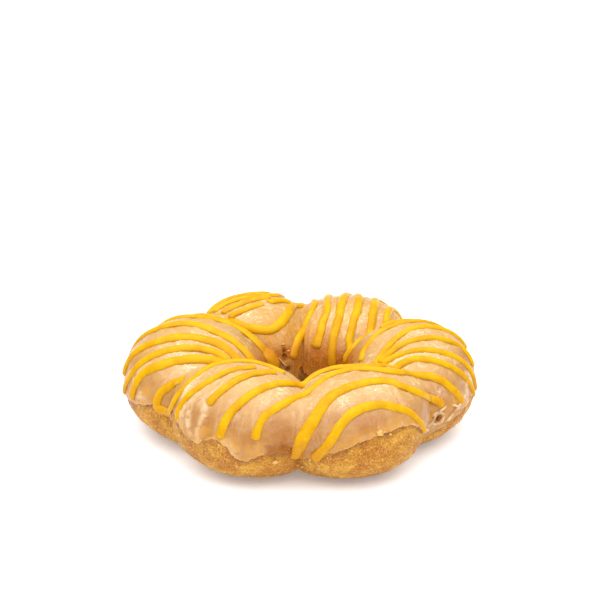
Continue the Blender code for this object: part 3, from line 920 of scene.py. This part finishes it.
# The strings
# Strings of glaze that were drawn out over the crease at the right and beside the torn spot in the hole,
# and set there. Each is a thin closed bar laid like the icing, in the same three widths.
STRINGS = (
    ((0.34, 0.30, 0.30), ((-45, 2), (-40, -8), (-35, -16), (-32.5, -12), (-32, -6), (-31.5, 1))),
    ((0.30, 0.34, 0.30), ((-32.2, -13), (-29.5, -13), (-28.6, -6), (-29.4, 1), (-31.5, 3), (-33, -2))),
    ((0.28, 0.30, 0.26), ((-31.5, 1), (-30, 5), (-28, 8))),
    ((0.26, 0.30, 0.26), ((-27, -14), (-24.4, -6), (-22.4, 0), (-20.6, 4))),
    ((0.24, 0.28, 0.24), ((-25, 6), (-23, 2), (-21, -3))),
    ((0.12, 0.13, 0.10), ((127.5, 163), (125.5, 168), (122.5, 172), (117, 175))),
)
STRING_HEIGHT = 0.85 * MM

web = bmesh.new()
milkiness = web.verts.layers.float.new("milk")
for widths, points in STRINGS:
    strand(web, widths, points, STRING_HEIGHT)
for corner in web.verts:
    corner[milkiness] = 1.0
finished(web, "glaze_strings", sugar.material)

# The crumbs
# Loose bits of set glaze and crust that stuck near the glaze's edge while it was wet. Each is a small
# knobbly ball pressed into the surface. One row a crumb: turn, over, half width and half height.
CRUMBS = (
    (-66.0, 18.5, 0.95 * MM, 0.72 * MM),
    (-62.6, 15.0, 0.34 * MM, 0.28 * MM),
    (-79.0, 8.0, 0.30 * MM, 0.26 * MM),
    (-99.0, -15.0, 0.75 * MM, 0.45 * MM),
    (-89.5, -34.0, 0.40 * MM, 0.30 * MM),
    (-91.5, -33.0, 0.30 * MM, 0.25 * MM),
    (116.5, 150.5, 0.34 * MM, 0.40 * MM),
    (111.5, 158.0, 0.30 * MM, 0.35 * MM),
    (-87.0, -14.0, 0.40 * MM, 0.22 * MM),
)
FLECKS = 36
FLECK_SIZES = (0.12 * MM, 0.26 * MM)
FLECK_SPREAD = 5.0
FLECK_FLATNESS = 0.8
CRUMB_RAISED = 0.25
CRUMB_NARROW = 0.8
CRUMB_KNOBS = 1.8
CRUMB_KNOBBLY = 0.5


def crumb(shape, turn, over, half_width, half_height, seed):
    """Adds one crumb to the shape."""
    made = bmesh.ops.create_icosphere(shape, subdivisions=2, radius=1.0)["verts"]
    normal = dough_normal(turn, over)
    across = Vector((0.0, 0.0, 1.0)).cross(normal).normalized()
    upwards = normal.cross(across)
    middle = dough_point(turn, over)
    middle += normal * (lumps(middle) + CRUMB_RAISED * half_height)
    for corner in made:
        knobs = noise.noise(corner.co * CRUMB_KNOBS + Vector((seed, 0.0, 0.0)))
        x, y, z = corner.co * (1.0 + CRUMB_KNOBBLY * knobs)
        level = (across * x + upwards * y * CRUMB_NARROW) * half_width
        corner.co = middle + level + normal * z * half_height


draw = random.Random(4)
scatter = bmesh.new()
for number, (turn, over, half_width, half_height) in enumerate(CRUMBS):
    crumb(scatter, turn, over, half_width, half_height, number * 3.7)
for number in range(FLECKS):
    turn = draw.uniform(-180.0, 180.0)
    over = outline(GLAZE_EDGE, turn) + draw.gauss(0.0, FLECK_SPREAD)
    size = draw.uniform(*FLECK_SIZES)
    crumb(scatter, turn, over, size, size * FLECK_FLATNESS, number * 1.3)

CRUMB_PALE = rgb(212, 164, 90)
CRUMB_GOLD = rgb(186, 130, 52)
FLAKE_TONE_SIZE = 0.7 * MM
FLAKE_GRAIN_SIZE = 0.3 * MM
FLAKE_GRAIN_DEPTH = 0.1 * MM

flake = Finish("pale_crumbs", roughness=0.6, subsurface_weight=0.2, subsurface_scale=0.6 * MM)
flake_place = flake.place()
flake_tone = flake.clouds(flake_place, FLAKE_TONE_SIZE, 3.0).over(0.4, 0.65)
flake.wire("Base Color", flake.mix(flake_tone, CRUMB_PALE, CRUMB_GOLD))
flake.wire("Normal", flake.bump(flake.clouds(flake_place, FLAKE_GRAIN_SIZE), FLAKE_GRAIN_DEPTH, 0.8))
finished(scatter, "crumbs", flake.material)

# The studio
# A white paper floor under one large soft light, in an even white room. The camera looks a little down on
# the front crease, from as far off as a long lens needs.
FLOOR_SIZE = 6.0
FLOOR_WHITE = rgb(238, 243, 248)
FLOOR_BRIGHT = rgb(244, 249, 254)
PAPER_TONE_SIZE = 0.4
LIGHT_PLACE = (0.0, -0.12, 0.80)
LIGHT_SIZE = 1.7
LIGHT_POWER = 25.0
ROOM_BRIGHTNESS = 0.45
LENS = 140.0
CAMERA_TILT = 21.5
CAMERA_PLACE = (0.23 * MM, -544.81 * MM, 249.1 * MM)

floor_shape = bmesh.new()
bmesh.ops.create_grid(floor_shape, x_segments=1, y_segments=1, size=FLOOR_SIZE / 2.0)
floor_mesh = bpy.data.meshes.new("floor")
floor_shape.to_mesh(floor_mesh)
floor_shape.free()
floor = bpy.data.objects.new("floor", floor_mesh)
bpy.context.scene.collection.objects.link(floor)
paper = Finish("white_floor", roughness=0.9, emission_color=(1.0, 1.0, 1.0, 1.0), emission_strength=0.22)
paper_tone = paper.clouds(paper.place(), PAPER_TONE_SIZE, 2.0)
paper.wire("Base Color", paper.mix(paper_tone, FLOOR_WHITE, FLOOR_BRIGHT))
floor_mesh.materials.append(paper.material)

light = bpy.data.lights.new("overhead", "AREA")
light.size = LIGHT_SIZE
light.energy = LIGHT_POWER
lamp = bpy.data.objects.new("overhead", light)
lamp.location = LIGHT_PLACE
lamp.rotation_euler = (-Vector(LIGHT_PLACE)).to_track_quat("-Z", "Y").to_euler()
bpy.context.scene.collection.objects.link(lamp)

room = bpy.data.worlds.new("white_room")
room.use_nodes = True
room.node_tree.nodes["Background"].inputs["Color"].default_value = (1.0, 1.0, 1.0, 1.0)
room.node_tree.nodes["Background"].inputs["Strength"].default_value = ROOM_BRIGHTNESS
bpy.context.scene.world = room
bpy.context.scene.view_settings.view_transform = "Standard"

view = bpy.data.cameras.new("camera")
view.lens = LENS
view.sensor_width = 36.0
camera = bpy.data.objects.new("camera", view)
camera.location = CAMERA_PLACE
camera.rotation_euler = (math.radians(90.0 - CAMERA_TILT), 0.0, 0.0)
bpy.context.scene.collection.objects.link(camera)
bpy.context.scene.camera = camera
